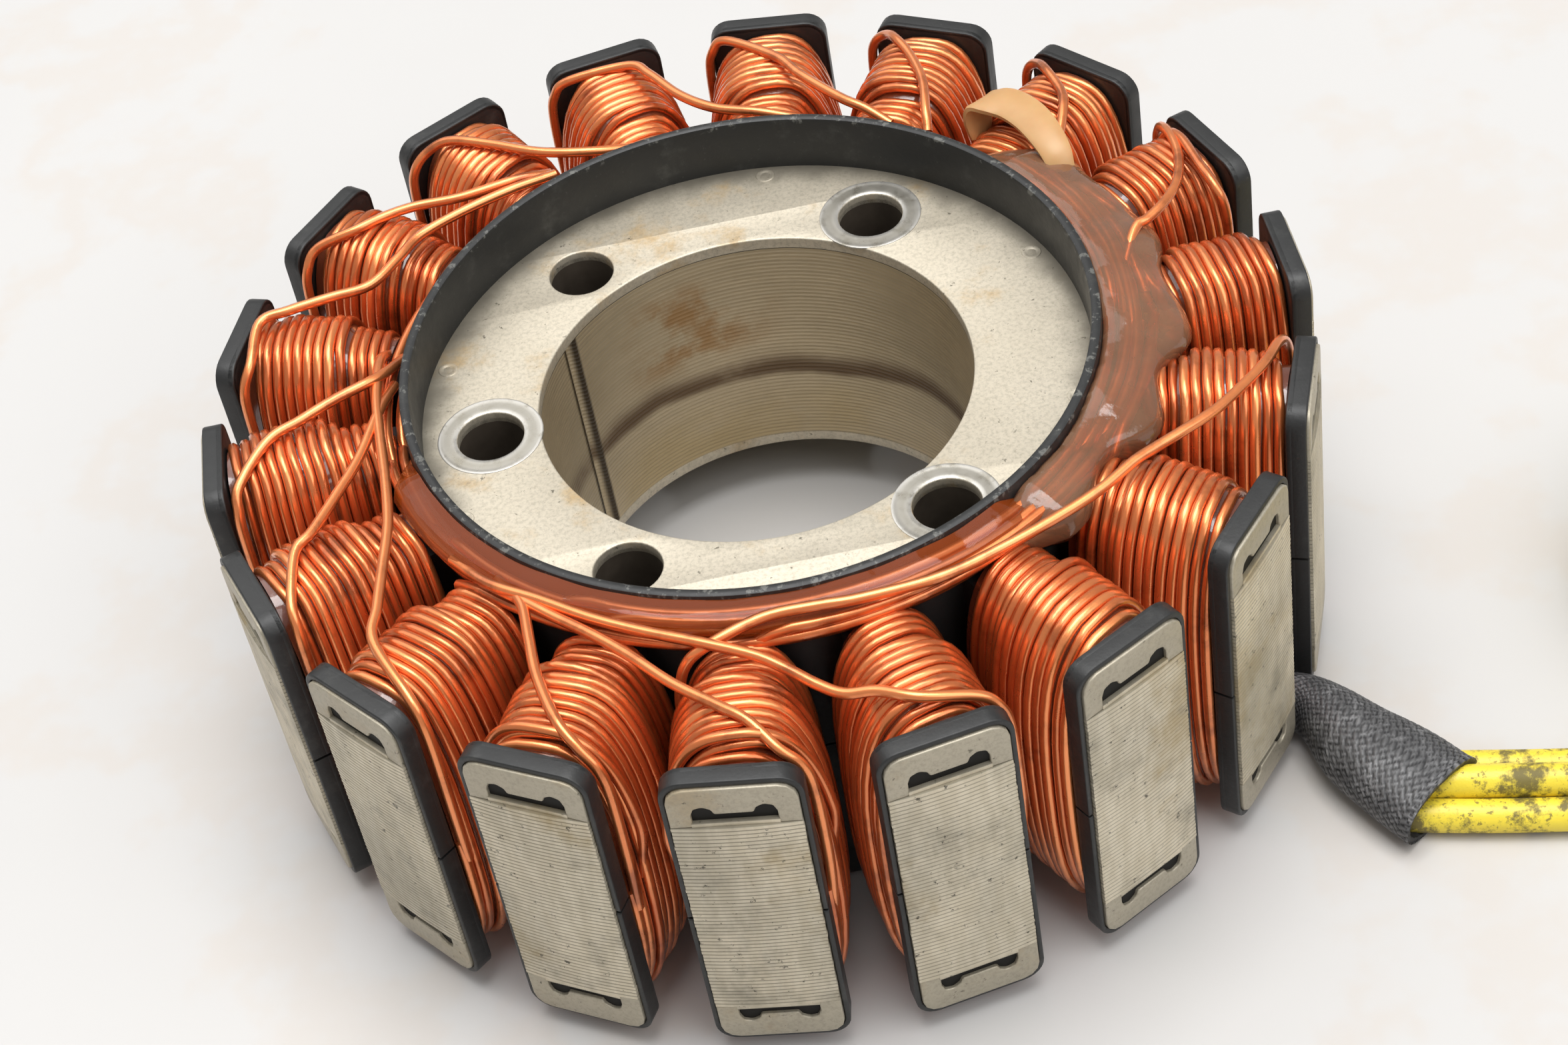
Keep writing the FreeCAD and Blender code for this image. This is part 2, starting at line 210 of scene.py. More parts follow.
def round_corners(points, radii, n=6):
    """A closed outline with each corner rounded to its own radius."""
    out = []
    count = len(points)
    for k, r in enumerate(radii):
        p, a, b = (np.array(points[i % count], float) for i in (k, k - 1, k + 1))
        if r <= 0:
            out.append(tuple(p))
            continue
        u, v = (a - p) / np.linalg.norm(a - p), (b - p) / np.linalg.norm(b - p)
        half = math.acos(max(-1, min(1, u.dot(v)))) / 2
        reach = r / math.tan(half)
        centre = p + (u + v) / np.linalg.norm(u + v) * r / math.sin(half)
        s, e = p + u * reach - centre, p + v * reach - centre
        a0, a1 = math.atan2(s[1], s[0]), math.atan2(e[1], e[0])
        d = (a1 - a0 + math.pi) % (2 * math.pi) - math.pi
        angles = [a0 + d * i / n for i in range(n + 1)]
        out += [tuple(centre + r * np.array((math.cos(t), math.sin(t)))) for t in angles]
    return out


def mirrored(z, flip):
    """The height itself, or with flip the same one counted from the other side of the part."""
    return 2 * MID - z if flip else z


def standing(verts, x, flip):
    """Turns a shape drawn in (across, up) into a tooth's own frame at radius x."""
    return np.stack([x + verts[:, 2], verts[:, 0], mirrored(verts[:, 1], flip)], -1)


def signed_power(v, power):
    return math.copysign(abs(v) ** power, v)


# Materials

def material(name, colour, rough=0.5, metal=0.0, coat=0.0, coat_rough=0.1, specular=0.5):
    m = bpy.data.materials.new(name)
    m.use_nodes = True
    b = m.node_tree.nodes["Principled BSDF"]
    b.inputs["Base Color"].default_value = (*colour, 1)
    b.inputs["Roughness"].default_value = rough
    b.inputs["Metallic"].default_value = metal
    b.inputs["Coat Weight"].default_value = coat
    b.inputs["Coat Roughness"].default_value = coat_rough
    b.inputs["Specular IOR Level"].default_value = specular
    return m


class Paint:
    """Short hands for the nodes of one material."""

    def __init__(self, m):
        self.nodes, self.links = m.node_tree.nodes, m.node_tree.links
        self.bsdf = self.nodes["Principled BSDF"]
        self.place = self.nodes.new("ShaderNodeTexCoord").outputs["Object"]

    def put(self, socket, value):
        if hasattr(value, "is_linked"):
            self.links.new(value, socket)
        else:
            socket.default_value = value

    def math(self, kind, a, b=0.0):
        n = self.nodes.new("ShaderNodeMath")
        n.operation = kind
        self.put(n.inputs[0], a)
        self.put(n.inputs[1], b)
        return n.outputs[0]

    def noise(self, scale, detail, rough=0.55, stretch=(1, 1, 1), seed=0.0):
        n = self.nodes.new("ShaderNodeMapping")
        self.links.new(self.place, n.inputs["Vector"])
        n.inputs["Scale"].default_value = stretch
        n.inputs["Location"].default_value = (seed, seed * 0.7, seed * 1.3)
        t = self.nodes.new("ShaderNodeTexNoise")
        self.links.new(n.outputs[0], t.inputs["Vector"])
        t.inputs["Scale"].default_value = scale
        t.inputs["Detail"].default_value = detail
        t.inputs["Roughness"].default_value = rough
        return t.outputs[0]

    def ramp(self, value, low, high):
        n = self.nodes.new("ShaderNodeMapRange")
        n.interpolation_type = "SMOOTHSTEP"
        self.put(n.inputs["Value"], value)
        n.inputs["From Min"].default_value = low
        n.inputs["From Max"].default_value = high
        return n.outputs[0]

    def mix(self, factor, a, b):
        n = self.nodes.new("ShaderNodeMix")
        n.data_type = "RGBA"
        self.put(n.inputs[0], factor)
        for socket, colour in ((n.inputs[6], a), (n.inputs[7], b)):
            self.put(socket, colour if hasattr(colour, "is_linked") else (*colour, 1))
        return n.outputs[2]

    def attribute(self, name):
        n = self.nodes.new("ShaderNodeAttribute")
        n.attribute_name = name
        return n.outputs["Fac"]

    def axis(self, index):
        n = self.nodes.new("ShaderNodeSeparateXYZ")
        self.links.new(self.place, n.inputs[0])
        return n.outputs[index]

    def radius(self):
        n = self.nodes.new("ShaderNodeVectorMath")
        n.operation = "LENGTH"
        flat = self.nodes.new("ShaderNodeVectorMath")
        flat.operation = "MULTIPLY"
        flat.inputs[1].default_value = (1, 1, 0)
        self.links.new(self.place, flat.inputs[0])
        self.links.new(flat.outputs[0], n.inputs[0])
        return n.outputs["Value"]

    def bump(self, height, strength, distance):
        n = self.nodes.new("ShaderNodeBump")
        self.put(n.inputs["Height"], height)
        n.inputs["Strength"].default_value = strength
        n.inputs["Distance"].default_value = distance
        self.links.new(n.outputs[0], self.bsdf.inputs["Normal"])

    def finish(self, colour=None, rough=None, metal=None):
        for key, value in (("Base Color", colour), ("Roughness", rough), ("Metallic", metal)):
            if value is not None:
                self.put(self.bsdf.inputs[key], value)


def copper_paint():
    """Enamelled copper: each turn a little lighter or darker, with darker varnish here and there."""
    m = material("enamelled_copper", (0.70, 0.20, 0.07), rough=0.30, metal=0.80, coat=0.55, coat_rough=0.06)
    p = Paint(m)
    tone = p.attribute("tone")
    base = p.mix(tone, (0.53, 0.103, 0.023), (0.98, 0.325, 0.108))
    dark = p.ramp(p.noise(180, 5, 0.6), 0.50, 0.72)
    p.finish(colour=p.mix(p.math("MULTIPLY", dark, 0.62), base, (0.17, 0.026, 0.007)),
             rough=p.math("ADD", 0.22, p.math("MULTIPLY", p.noise(900, 3), 0.16)))
    p.bump(p.noise(1500, 3), 0.25, 0.00004)
    return m


def varnish_paint():
    m = material("dried_varnish", (0.21, 0.055, 0.022), rough=0.22, coat=1.0, coat_rough=0.05)
    p = Paint(m)
    p.finish(colour=p.mix(p.noise(260, 4), (0.06, 0.014, 0.007), (0.20, 0.05, 0.02)))
    p.bump(p.noise(700, 3), 0.5, 0.0002)
    return m


def moulding_paint():
    m = material("black_moulding", (0.020, 0.021, 0.022), rough=0.36, specular=0.5)
    p = Paint(m)
    dust = p.ramp(p.noise(260, 6, 0.65), 0.54, 0.80)
    scuff = p.ramp(p.noise(1900, 4, 0.7), 0.62, 0.78)
    rim = p.math("MULTIPLY", p.ramp(p.axis(2), 0.0346, 0.0352),
                 p.ramp(p.noise(900, 5, 0.7, seed=8.0), 0.55, 0.66))
    both = p.math("ADD", p.math("MULTIPLY", dust, 0.3), p.math("MULTIPLY", scuff, 0.35))
    both = p.math("MINIMUM", p.math("ADD", both, p.math("MULTIPLY", rim, 1.6)), 2.5)
    p.finish(colour=p.mix(both, (0.014, 0.0145, 0.0145), (0.11, 0.11, 0.10)),
             rough=p.math("ADD", 0.34, p.math("MULTIPLY", p.noise(700, 4), 0.25)))
    p.bump(p.noise(2400, 4), 0.35, 0.00006)
    return m


def plate_paint():
    m = material("plated_steel", (0.62, 0.56, 0.44), rough=0.42, metal=0.6)
    p = Paint(m)
    broad = p.mix(p.noise(60, 5, 0.6), (0.49, 0.435, 0.335), (0.69, 0.625, 0.51))
    warm = p.ramp(p.noise(110, 6, 0.66, seed=3.0), 0.52, 0.70)
    tan = p.mix(p.math("MULTIPLY", warm, 0.8), broad, (0.44, 0.29, 0.12))
    pits = p.ramp(p.noise(1100, 6, 0.72, seed=5.0), 0.625, 0.68)
    reach = p.radius()
    # Darker in a ring round the foot of the collar
    edge = p.math("ADD", reach, p.math("MULTIPLY", p.noise(200, 6), 0.005))
    collar_foot_ring = p.math("MULTIPLY", p.ramp(edge, 0.0325, 0.0362), p.ramp(reach, 0.0420, 0.0400))
    tan = p.mix(p.math("MULTIPLY", collar_foot_ring, 0.72), tan, (0.10, 0.09, 0.07))
    tan = p.mix(p.math("MULTIPLY", p.ramp(reach, 0.045, 0.050), 0.6), tan, (0.33, 0.30, 0.23))
    grain = p.ramp(p.noise(2300, 5, 0.75), 0.42, 0.66)
    tan = p.mix(p.math("MULTIPLY", grain, 0.42), tan, (0.26, 0.235, 0.18))
    p.finish(colour=p.mix(p.math("MULTIPLY", pits, 0.8), tan, (0.08, 0.07, 0.05)),
             rough=p.math("ADD", 0.34, p.math("MULTIPLY", p.noise(300, 5), 0.24)),
             metal=p.math("SUBTRACT", 0.55, p.math("MULTIPLY", warm, 0.3)))
    p.bump(p.noise(2600, 5, 0.7), 0.35, 0.00005)
    return m


def pole_paint():
    """Sheet edges, ground and painted over: greenish grey, with specks and rust-brown patches."""
    m = material("sheet_edges", (0.33, 0.32, 0.25), rough=0.45, metal=0.5)
    p = Paint(m)
    wave = p.math("FRACT", p.math("DIVIDE", p.math("SUBTRACT", p.axis(2), PLATE_T * MM), SHEET * MM))
    seam = p.ramp(p.math("ABSOLUTE", p.math("SUBTRACT", wave, 0.5)), 0.30, 0.48)
    base = p.mix(p.noise(90, 5, seed=2.0), (0.44, 0.395, 0.30), (0.76, 0.67, 0.51))
    streak = p.noise(900, 3, 0.6, stretch=(1.0, 1.0, 0.25), seed=4.0)
    base = p.mix(p.math("MULTIPLY", p.ramp(streak, 0.35, 0.7), 0.35), base, (0.85, 0.78, 0.645))
    broad = p.mix(p.math("MULTIPLY", seam, 0.55), base, (0.12, 0.115, 0.09))
    brown = p.ramp(p.noise(75, 6, 0.62, seed=9.0), 0.54, 0.72)
    tan = p.mix(p.math("MULTIPLY", brown, 0.6), broad, (0.34, 0.245, 0.10))
    shade = p.ramp(p.noise(48, 5, 0.6, stretch=(1.0, 1.0, 0.6), seed=21.0), 0.42, 0.68)
    tan = p.mix(p.math("MULTIPLY", shade, 0.40), tan, (0.185, 0.175, 0.14))
    cloud = p.ramp(p.noise(130, 6, 0.65, seed=12.0), 0.50, 0.72)
    tan = p.mix(p.math("MULTIPLY", cloud, 0.45), tan, (0.14, 0.13, 0.10))
    pits = p.ramp(p.noise(1000, 6, 0.74, seed=5.0), 0.615, 0.66)
    p.finish(colour=p.mix(p.math("MULTIPLY", pits, 0.85), tan, (0.045, 0.04, 0.03)),
             rough=p.math("ADD", 0.36, p.math("MULTIPLY", p.noise(800, 4), 0.25)))
    p.bump(p.noise(2200, 5, 0.7), 0.3, 0.00005)
    return m


def bore_paint():
    m = material("bore_wall", (0.42, 0.38, 0.30), rough=0.34, metal=0.62)
    p = Paint(m)
    x, y, z = p.axis(0), p.axis(1), p.axis(2)
    fine = p.noise(300, 3, 0.5, stretch=(0.04, 0.04, 4.0))
    broad = p.mix(p.noise(55, 5, 0.6), (0.37, 0.30, 0.185), (0.74, 0.61, 0.42))
    base = p.mix(p.math("MULTIPLY", fine, 0.4), broad, (0.22, 0.185, 0.125))
    edge = p.math("ADD", z, p.math("MULTIPLY", p.noise(40, 4), 0.005))
    band = p.math("MULTIPLY", p.ramp(edge, 0.0128, 0.0142), p.ramp(edge, 0.0172, 0.0146))
    stain = p.math("MULTIPLY", band, p.ramp(p.noise(60, 5, 0.6, seed=4.0), 0.25, 0.5))
    dark = p.mix(p.math("MULTIPLY", stain, 0.88), base, (0.10, 0.052, 0.022))
    side = p.math("MULTIPLY", p.ramp(x, -0.014, -0.008), p.ramp(x, 0.006, -0.003))
    tall = p.math("MULTIPLY", p.ramp(z, 0.013, 0.017), p.ramp(z, 0.027, 0.022))
    rust = p.math("MULTIPLY", p.math("MULTIPLY", side, tall), p.ramp(y, 0.010, 0.016))
    rust = p.math("MULTIPLY", rust, p.ramp(p.noise(150, 6, 0.65, seed=6.0), 0.40, 0.60))
    brown = p.mix(p.math("MULTIPLY", rust, 0.75), dark, (0.34, 0.17, 0.045))
    # Painted reflected light: the lower part of the wall lighter and warmer, in patches
    low = p.math("MULTIPLY", p.ramp(z, 0.011, 0.005), p.ramp(p.noise(80, 5, seed=7.0), 0.35, 0.65))
    tan = p.mix(p.math("MULTIPLY", low, 0.5), brown, (0.46, 0.34, 0.15))
    # Low tone paints shade: dark lines along both edges of the key groove
    p.finish(colour=p.mix(p.ramp(p.attribute("tone"), 0.5, 0.1), tan, (0.05, 0.035, 0.02)),
             rough=p.math("ADD", 0.25, p.math("MULTIPLY", p.noise(500, 4), 0.22)))
    return m


def resin_paint():
    m = material("potting_resin", (0.20, 0.08, 0.045), rough=0.10, coat=0.35, coat_rough=0.03,
                 specular=0.35)
    p = Paint(m)
    cloud = p.noise(120, 5, 0.6)
    p.finish(colour=p.mix(cloud, (0.27, 0.115, 0.055), (0.66, 0.36, 0.205)))
    p.bsdf.inputs["Transmission Weight"].default_value = 0.68
    p.bsdf.inputs["IOR"].default_value = 1.45
    p.bump(p.noise(260, 4), 0.35, 0.0006)
    return m


def gloss_paint():
    m = material("clear_varnish", (0.26, 0.048, 0.006), rough=0.05, coat=0.25, coat_rough=0.03,
                 specular=0.35)
    p = Paint(m)
    p.bsdf.inputs["Alpha"].default_value = 0.52
    p.bump(p.noise(200, 3), 0.35, 0.0004)
    return m


def amber_paint():
    m = material("amber_tube", (0.72, 0.45, 0.20), rough=0.38)
    p = Paint(m)
    p.finish(colour=p.mix(p.noise(300, 4), (0.45, 0.23, 0.085), (0.57, 0.35, 0.155)))
    p.bsdf.inputs["Subsurface Weight"].default_value = 0.25
    p.bsdf.inputs["Subsurface Scale"].default_value = 0.001
    return m


def braid_paint():
    m = material("braided_sleeve", (0.028, 0.029, 0.032), rough=0.5)
    p = Paint(m)
    # Painted highlight and shade: strands lighter where they ride over, dark in the gaps, lighter still in
    # worn patches
    tone = p.attribute("tone")
    worn = p.ramp(p.noise(500, 5, 0.65), 0.45, 0.75)
    crest_sheen_and_wear = p.math("MULTIPLY", p.math("POWER", tone, 2.0),
                   p.math("ADD", 0.35, p.math("MULTIPLY", worn, 0.65)))
    p.finish(colour=p.mix(crest_sheen_and_wear, (0.010, 0.010, 0.011), (0.25, 0.25, 0.255)),
             rough=p.math("SUBTRACT", 0.62, p.math("MULTIPLY", tone, 0.25)))
    return m


def lead_paint():
    m = material("yellow_insulation", (0.80, 0.62, 0.04), rough=0.42)
    p = Paint(m)
    base = p.mix(p.noise(140, 4), (0.66, 0.50, 0.028), (0.92, 0.74, 0.07))
    grime = p.ramp(p.noise(190, 7, 0.74, seed=1.5), 0.48, 0.59)
    specks = p.ramp(p.noise(1100, 5, 0.7), 0.56, 0.63)
    dirt = p.math("MAXIMUM", p.math("MULTIPLY", grime, 0.85), p.math("MULTIPLY", specks, 0.7))
    p.finish(colour=p.mix(dirt, base, (0.055, 0.045, 0.028)),
             rough=p.math("ADD", 0.36, p.math("MULTIPLY", dirt, 0.3)))
    p.bump(p.noise(900, 5, 0.7), 0.35, 0.0002)
    return m


def housing_paint():
    m = material("white_housing", (0.78, 0.77, 0.73), rough=0.42)
    p = Paint(m)
    p.finish(colour=p.mix(p.noise(300, 5), (0.74, 0.73, 0.68), (0.82, 0.81, 0.78)))
    return m


COPPER, VARNISH, MOULDING, PLATE = copper_paint(), varnish_paint(), moulding_paint(), plate_paint()
POLE, BORE, RESIN, GLOSS = pole_paint(), bore_paint(), resin_paint(), gloss_paint()
AMBER, BRAID, LEAD, HOUSING = amber_paint(), braid_paint(), lead_paint(), housing_paint()
# Plain black that paints the shade in the hollows behind the notches of the tabs
SHADE_BLACK = material("painted_shade_black", (0.010, 0.009, 0.008), rough=0.6, specular=0.2)


# Laminated core: sheet edges at the pole faces and in the bore

def pole_ring(z, inset, shift):
    """The outline of one tooth tip at a height: a straight back, square sides and a round face."""
    half = TIP_HALF - inset
    arc = [math.radians(a) for a in np.linspace(-1, 1, 9) * math.degrees(math.asin(half / FACE_R))]
    front = [(math.cos(a) * (FACE_R - inset), math.sin(a) * (FACE_R - inset) + shift) for a in arc]
    return [(TIP_BACK, -half + shift, z)] + [(x, y, z) for x, y in front] + [(TIP_BACK, half + shift, z)]


def build_poles():
    out = Sheet()
    for k in range(TEETH):
        rings = []
        for s in range(SHEETS):
            low = PLATE_T + s * SHEET
            shift = float(rng.normal(0, 0.022))
            rings.append(pole_ring(low + 0.01, 0.055, 0.0))
            rings.append(pole_ring(low + 0.09, 0.0, shift))
            rings.append(pole_ring(low + SHEET - 0.07, 0.0, shift))
        rings.append(pole_ring(PLATE_TOP - PLATE_T, 0.05, 0.0))
        out.loft(turn(rings, STEP * k))
    out.obj("sheet_edges", POLE, angle=25, replaces=["stator_core"], slot="core_steel")


def build_bore():
    """The bore's wall with its key groove and the seams between sheets."""
    out = Sheet()
    n = 240
    angles = np.arange(n) * 2 * np.pi / n
    away = np.abs((np.degrees(angles) - GROOVE_ANGLE + 180) % 360 - 180)
    groove = np.where(away < 2.0, GROOVE_DEPTH, 0.0)
    shade = np.where((away > 1.6) & (away < 3.2), 0.0, 0.5)
    rings = []
    for s in range(SHEETS + 1):
        z = PLATE_T + s * SHEET
        for dz, dr in ((-0.03, 0.0), (0.0, 0.02), (0.03, 0.0)):
            if PLATE_T <= z + dz <= PLATE_TOP - PLATE_T:
                r = BORE_R + dr + groove
                rings.append(np.stack([r * np.cos(angles), r * np.sin(angles), np.full(n, z + dz)], -1))
    out.loft(rings, caps=False, tone=np.tile(shade, len(rings)))
    out.obj("bore_wall", BORE, angle=50, replaces=["stator_core"], slot="core_steel")


def build_hole_walls():
    out = Sheet()
    for h in HOLES:
        c = polar(HOLE_CIRCLE, h)
        rings = [[c + polar(HOLE_R, a, z) for a in range(0, 360, 10)] for z in (0.6, 10.0, 20.0, 28.4)]
        out.loft(rings, caps=False)
    # Painted shade deep in the holes, with a rusty tint: the walls dark brown
    m = material("hole_wall", (0.11, 0.09, 0.07), rough=0.4, metal=0.4)
    p = Paint(m)
    p.finish(colour=p.mix(p.noise(300, 5), (0.035, 0.028, 0.022), (0.16, 0.13, 0.10)))
    out.obj("hole_walls", m, replaces=["stator_core"], slot="core_steel")


def plate_loops(outer):
    loops = [outer, circle(BORE_R, 120)]
    for h in HOLES:
        x, y, _ = polar(HOLE_CIRCLE, h)
        loops.append(circle(HOLE_R, 36, x, y))
    return loops


def tab_outline():
    """The outline of a pole tab, drawn as (across, up), with the notch that holds the top sheet down."""
    low, top = PLATE_TOP - PLATE_T, PLATE_TOP + TAB_RISE
    shape = [(-TIP_HALF, low), (-3.8, low), (-3.8, 29.3), (-3.5, 30.1), (-2.7, 30.35), (-2.0, 29.95),
             (-1.75, 29.35), (1.75, 29.35), (2.0, 29.95), (2.7, 30.35), (3.5, 30.1), (3.8, 29.3),
             (3.8, low), (TIP_HALF, low), (TIP_HALF, top), (-TIP_HALF, top)]
    return round_corners(shape, [0, 0, 0.3, 0.4, 0.6, 0.4, 0.3, 0.3, 0.4, 0.6, 0.4, 0.3, 0, 0, 1.7, 1.7], 3)


def build_notches():
    """Painted shade: black boxes behind the notches of the tabs, where the hollows lie in shade, and the
    lip of the sheets below them.
    """
    dark, lip = Sheet(), Sheet()
    # Sheet, from and to along the tooth, half width, from and to in height
    boxes = ((dark, 53.34, 54.3, 4.2, 27.7, 30.9), (lip, 54.2, 54.72, 3.9, 27.7, 28.3))
    for k in range(TEETH):
        for flip in (False, True):
            for out, x0, x1, half, z0, z1 in boxes:
                ring = [(x0, -half), (x1, -half), (x1, half), (x0, half)]
                box = [[(x, y, mirrored(z, flip)) for x, y in ring] for z in (z0, z1)]
                out.loft(turn(box, STEP * k))
    dark.obj("notch_shade", SHADE_BLACK, replaces=["stator_core"], slot="core_steel")
    lip.obj("sheet_lips", POLE, replaces=["stator_core"], slot="core_steel")


def build_plate(name, upper):
    """An end plate: the pressed disc, the pole tabs and the marks of pressing."""
    out = Sheet()
    z = PLATE_TOP - PLATE_T / 2 if upper else PLATE_T / 2
    edge = 0.16
    verts, faces = flat_shape(plate_loops(circle(PLATE_R, 144)), PLATE_T, edge)
    out.add(verts + pt(0, 0, z), faces)
    verts, faces = flat_shape([tab_outline()], PLATE_T, edge, 3)
    tab = standing(verts, TAB_R - PLATE_T / 2, flip=not upper)
    low = PLATE_TOP - PLATE_T if upper else 0
    end = TIP_BACK + 0.2
    neck = [(34, -NECK_HALF), (end, -NECK_HALF), (end, NECK_HALF), (34, NECK_HALF)]
    bar = [[pt(x, y, low + d) for x, y in neck] for d in (0.02, PLATE_T - 0.02)]
    for k in range(TEETH):
        out.add(turn(tab, STEP * k), faces)
        out.loft(turn(bar, STEP * k))
    face = PLATE_TOP if upper else 0.0
    sign = 1 if upper else -1
    profile = ((1.05, -0.02), (0.95, 0.07), (0.75, 0.08), (0.6, 0.02), (0.3, -0.03), (0.02, -0.04))
    for a in DENTS:
        c = polar(DENT_CIRCLE, a, face)
        rings = [[c + polar(r, t, sign * h) for t in range(0, 360, 15)] for r, h in profile]
        out.loft(rings, caps=False, tone=0.3)
    out.obj(name, PLATE, replaces=["stator_core"], slot="core_steel")


def build_seats():
    """Bright rings rubbed by the heads of the screws round three of the holes."""
    m = material("rubbed_seat", (0.74, 0.72, 0.68), rough=0.26, metal=0.75)
    p = Paint(m)
    worn = p.math("MULTIPLY", p.attribute("tone"), p.ramp(p.noise(450, 5, 0.65), 0.25, 0.55))
    p.finish(rough=p.math("ADD", 0.16, p.math("MULTIPLY", p.noise(900, 5), 0.3)),
             colour=p.mix(worn, (0.32, 0.295, 0.24), (0.64, 0.62, 0.58)))
    out = Sheet()
    profile = ((5.35, -0.05), (5.3, 0.05), (5.15, 0.09), (4.95, 0.03), (4.6, 0.05), (4.2, 0.03),
               (3.9, 0.05), (3.6, 0.04), (3.42, -0.02), (3.36, -0.2))
    shine = np.repeat((0.2, 0.7, 0.85, 0.5, 0.3, 0.25, 0.4, 0.75, 0.9, 0.5), 360 // 8)
    for h in RUBBED_HOLES:
        c = polar(HOLE_CIRCLE, h, PLATE_TOP)
        rings = [[c + polar(r, t, z) for t in range(0, 360, 8)] for r, z in profile]
        out.loft(rings, caps=False, tone=shine)
    out.obj("screw_seats", m, replaces=["stator_core"], slot="core_steel")


# Moulded insulators

def build_insulator(name, upper):
    """One half of the moulding: the collar, and a rim, a flange and a spool on each tooth."""
    out = Sheet()
    top = PLATE_TOP + COLLAR_RISE
    profile = [(33.4, 28.2), (33.4, top - 0.45), (33.5, top - 0.12), (33.72, top), (34.15, top),
               (34.38, top - 0.12), (34.47, top - 0.45), (COLLAR_R, 31.2), (34.62, 30.4), (35.0, 30.04),
               (35.4, TROUGH_Z), (35.45, 29.4), (35.42, MID + HALF_GAP), (34.7, MID + HALF_GAP),
               (34.66, 28.2)]
    rings = []
    steps = 180
    for k in range(steps):
        a = 2 * math.pi * k / steps
        wob = 0.04 * math.sin(3 * a + 1) + 0.03 * math.sin(7 * a)
        rings.append([((r + wob) * math.cos(a), (r + wob) * math.sin(a), mirrored(z, not upper))
                      for r, z in profile])
    out.loft(rings, path_closed=True)
    rise = PLATE_TOP + TAB_RISE + TOP_RIM
    low = MID + HALF_GAP
    half = TIP_HALF + SIDE_RIM
    outer = round_corners([(-half, low), (half, low), (half, rise), (-half, rise)], [0, 0, 2.2, 2.2])
    pocket, height = TIP_HALF + 0.04, rise - 0.62
    arc = round_corners([(pocket, low), (pocket, height), (-pocket, height), (-pocket, low)],
                        [0, 1.75, 1.75, 0])
    shape = outer[1:] + [outer[0], (-pocket, low)] + arc[::-1][1:-1] + [(pocket, low)]
    rim_verts, rim_faces = flat_shape([shape], RIM_DEPTH, 0.17, 3)
    base_verts, base_faces = flat_shape([outer], FLANGE_T, 0.2)
    rim_mesh = standing(rim_verts, RIM_X, flip=not upper)
    base_mesh = standing(base_verts, FLANGE_X, flip=not upper)
    sides = [(35.0, SPOOL_HALF), (52.5, SPOOL_HALF), (52.5, -SPOOL_HALF), (35.0, -SPOOL_HALF)]
    spool = [[pt(x, y, mirrored(z, not upper)) for x, y in sides] for z in (low, TROUGH_Z)]
    for k in range(TEETH):
        tilt = rng.normal(0, 0.0012, 2)
        for mesh, faces in ((rim_mesh, rim_faces), (base_mesh, base_faces)):
            v = mesh.copy()
            v[:, 0] += (v[:, 2] - MID) * tilt[0]
            out.add(turn(v, STEP * k), faces)
        out.loft(turn(spool, STEP * k))
    node = "upper_insulator" if upper else "lower_insulator"
    out.obj(name, MOULDING, angle=40, replaces=[node], slot="black_moulding")


# Coils: one long wire round each tooth

def bent_rectangle(count):
    """Points round a superellipse of half sizes one, from its right side on, closer where it bends."""
    t = np.linspace(0, 2 * np.pi, 2001)[:-1]
    y = np.sign(np.cos(t)) * np.abs(np.cos(t)) ** (2 / POWER)
    z = np.sign(np.sin(t)) * np.abs(np.sin(t)) ** (2 / POWER)
    p = np.stack([y * HALF_W, z * HALF_H], -1)
    ahead = np.roll(p, -1, 0) - p
    step = np.linalg.norm(ahead, axis=1)
    heading = np.unwrap(np.arctan2(ahead[:, 1], ahead[:, 0]))
    bend = np.abs(np.roll(heading, -1) - heading)
    bend[-1] = bend[0]
    share = np.cumsum(step / step.sum() * 0.45 + bend / bend.sum() * 0.55)
    pick = np.searchsorted(share, np.arange(count) / count)
    return np.stack([y[pick], z[pick]], -1)


RECT = bent_rectangle(44)


def level(x):
    """Half width and half height of the turns at radius x: the first and the last layers lie lower."""
    at = (41.6, 42.5, 49.8, 50.6)
    w = np.interp(x, at, (5.75, 6.95, 6.95, 6.35))
    h = np.interp(x, at, (17.45, 18.6, 18.6, 17.95))
    return w, h


def build_coil(k):
    """One long wire wound outwards, which steps to its next turn where it crosses the top."""
    out = Sheet()
    per = len(RECT)
    pitch = (COIL_OUT - COIL_IN) / TURNS
    top = [j for j in range(per) if RECT[j][1] > 0.86]
    count = TURNS * per + 1
    knots = TURNS * 2 + 3
    wobble = rng.normal(0, 1, (4, knots))
    path = []
    for q in range(count):
        i, j = divmod(q, per)
        f = min(1.0, max(0.0, (j - top[0]) / (top[-1] - top[0])))
        x = COIL_IN + pitch * (i + f * f * (3 - 2 * f))
        at = q / per * 2
        dx, dw, dh, dt = (float(np.interp(at, np.arange(knots), row)) for row in wobble)
        w, h = level(x)
        y, z = RECT[j]
        path.append((x + 0.05 * dx, y * (w + 0.09 * dw) + 0.10 * dt * z, MID + z * (h + 0.13 * dh)))
    tone = np.repeat(np.clip(0.5 + rng.normal(0, 0.2, TURNS + 1), 0, 1), per)[:count]
    out.wire(turn(path, STEP * k), tone=np.repeat(tone, WIRE_SIDES))
    name = "coil_%02d" % (k + 1)
    out.obj("winding_%02d" % (k + 1), COPPER, angle=60, replaces=[name], slot="varnished_winding")
    fill = Sheet()
    rings = []
    for x in (37.2, 38.6, 41.2, 42.6, 46.0, 49.6, 50.7, 52.2):
        w, h = level(x)
        rings.append([(x, y * (w - 0.2), MID + z * (h - 0.2)) for y, z in RECT])
    fill.loft(turn(rings, STEP * k))
    fill.obj("varnish_%02d" % (k + 1), VARNISH, angle=50, replaces=[name], slot="varnished_winding")


# Wires that leave the coils and run round the collar

